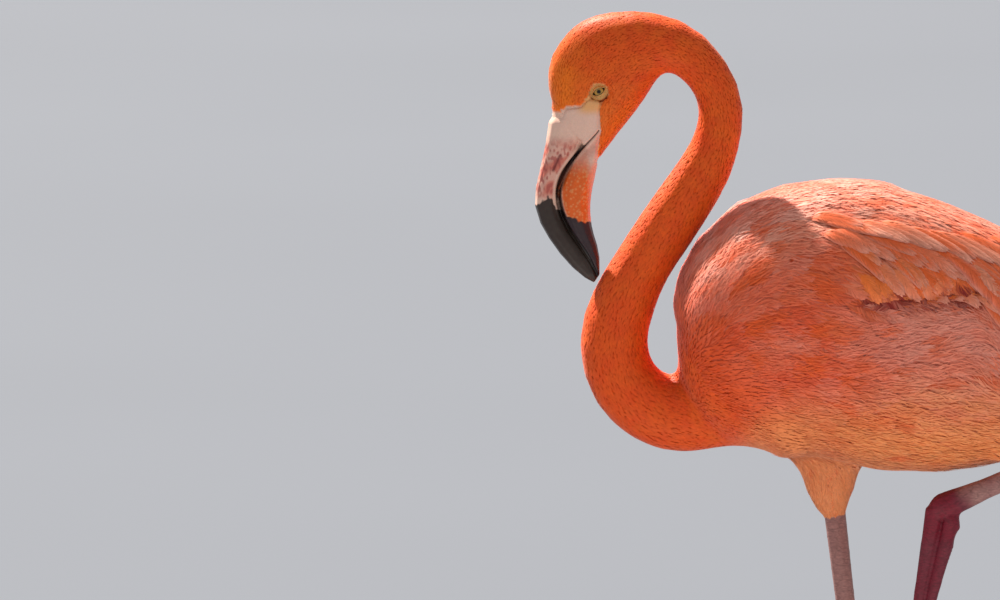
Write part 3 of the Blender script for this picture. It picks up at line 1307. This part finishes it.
def eyelids(name, sign):
    """A ring of bare folded skin from the opening's edge out to the face."""
    depth = ball_depth(sign)
    face = depth + EYE_RADIUS - EYE_BULGE
    angle = np.linspace(0, math.tau, LID_TURNS, endpoint=False)
    across, upward = np.cos(angle), np.sin(angle)
    tilt = np.array([[math.cos(EYE_TILT), math.sin(EYE_TILT)],
                     [-math.sin(EYE_TILT), math.cos(EYE_TILT)]])
    inner = np.stack([across * EYE_OPENING[0] + np.sign(across) * np.abs(across) ** 8 * 0.0007,
                      upward * EYE_OPENING[1]], axis=1) @ tilt
    outer = np.stack([across, upward], axis=1) @ tilt * (EYE_CLEAR + LID_WIDTH)
    shares = np.linspace(0, 1, LID_RINGS)
    rings = []
    for share in shares:
        flat = inner + (outer - inner) * share
        reach = np.minimum(np.hypot(*flat.T), EYE_RADIUS * 0.97)
        ball = depth + np.sqrt(EYE_RADIUS ** 2 - reach ** 2)
        roll = 0.00055 * np.sin(np.clip(share * 3.4, 0, 1) * math.pi)
        fold = 0.00030 * math.sin(share * math.pi * 5) * (1 - share)
        x, z = EYE_PLACE[0] + flat[:, 0], EYE_PLACE[1] + flat[:, 1]
        blend = ease(0.25, 0.85, share)
        skin_y = np.array([face_depth(a, b, sign) for a, b in zip(x, z)]) + 0.0003
        skin_y = face + (skin_y - face) * ease(0.75, 1.0, share)
        y = np.maximum(ball, face - 0.0002) + 0.0002 + roll + fold
        y = y * (1 - blend) + skin_y * blend
        rings.append(np.stack([x, sign * y, z], axis=1))
    rings = [rings[0] - [0, sign * 0.0011, 0], *rings, rings[-1] - [0, sign * 0.0015, 0]]
    points = np.concatenate(rings)
    lids = mesh_object(name, points, ring_faces(len(rings), LID_TURNS, sign > 0))
    share = np.repeat([0, *shares, 1], LID_TURNS)
    shade = painted(LID_RIM, (LID_OCHRE, ease(0.02, 0.13, share)),
                    (FACE_OCHRE, ease(0.55, 0.95, share)))
    dress(lids, BARE, shade, points * LID_GRAIN)
    return lids


SIDES = (("left", -1), ("right", 1))
eyes = {word: eyeball("eyeball_" + word, sign) for word, sign in SIDES}
lids = {word: eyelids("lids_" + word, sign) for word, sign in SIDES}

# ---- riding on the frame


def attach(piece, slot, *nodes):
    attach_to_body(piece, "root")
    if nodes:
        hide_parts(*nodes)


attach(skin, "plumage_body", *FEATHERED)
attach(right_leg, "leg_skin", *RIGHT_LEG)
attach(left_leg, "leg_skin", *LEFT_LEG)
attach(claws, "claw", *CLAWS)
attach(bill, "bill", *BILL)
for word, ball in eyes.items():
    attach(ball, "eye", "eye_" + word)
    attach(lids[word], "bill")
for piece in coat:
    attach(piece, "plumage_neck" if piece.name.startswith("coat_neck") else "plumage_body")
for piece in long_feathers:
    attach(piece, "plumage_wing")

# ---- studio

PIXEL = 0.0007  # width of one image pixel at the bird's mid-plane
FRAME_CENTRE = Vector((-0.259, 0.0, 0.658))
CAMERA_DISTANCE = 6.0
CAMERA_ELEVATION = math.radians(7)
SENSOR_WIDTH = 36.0
IMAGE_WIDTH = 1000
FLOOR_HALF = 30.0
FLOOR_TONE = (0.128, 0.138, 0.160)
SKY_TONE, SKY_STRENGTH = (0.93, 0.96, 1.0, 1), 0.55


def aimed(name, data, place, towards):
    """Puts a light or camera at a place, looking in a direction."""
    made = in_scene(name, data)
    made.location = place
    made.rotation_euler = towards.to_track_quat("-Z", "Y").to_euler()
    return made


def studio_floor():
    corners = np.array([(-1, -1), (1, -1), (1, 1), (-1, 1)]) * FLOOR_HALF
    points = np.hstack([corners, np.full((4, 1), -0.0005)])
    floor = mesh_object("floor", points, np.array([[0, 1, 2, 3]]))
    material = grained("floor_pale", 0.5, 2.0, 0.97, 1.03, 0.0, 0.001, Roughness=0.9)[0]
    dress(floor, material, np.tile(FLOOR_TONE, (4, 1)), points)


def studio_light(name, kind, energy, place, towards, **settings):
    """A light that shows in no picture of its own, only on what it lights."""
    data = bpy.data.lights.new(name, kind)
    data.energy = energy
    for key, value in settings.items():
        setattr(data, key, value)
    aimed(name, data, place, Vector(towards)).visible_camera = False


def studio():
    world = bpy.data.worlds.new("studio")
    world.use_nodes = True
    background = world.node_tree.nodes["Background"]
    background.inputs["Color"].default_value = SKY_TONE
    background.inputs["Strength"].default_value = SKY_STRENGTH
    bpy.context.scene.world = world
    studio_light("key", "SUN", 9.8, (-4.1, 4.9, 8.35), (4.1, -4.9, -7.7),
                 angle=math.radians(3), color=(1.0, 0.95, 0.88))
    studio_light("bounce", "AREA", 3.0, (-0.05, -0.52, 0.14), (0.0, 0.0, 1.0),
                 shape="RECTANGLE", size=1.1, size_y=0.55, color=(1.0, 0.93, 0.84))


def camera():
    data = bpy.data.cameras.new("camera")
    data.sensor_width = SENSOR_WIDTH
    data.lens = SENSOR_WIDTH * CAMERA_DISTANCE / (PIXEL * IMAGE_WIDTH)
    data.clip_start, data.clip_end = 0.1, 100
    back = Vector((0, -math.cos(CAMERA_ELEVATION), math.sin(CAMERA_ELEVATION)))
    place = FRAME_CENTRE + back * CAMERA_DISTANCE
    bpy.context.scene.camera = aimed("camera", data, place, -back)


studio_floor()
studio()
camera()
bpy.context.scene.view_settings.view_transform = "Standard"
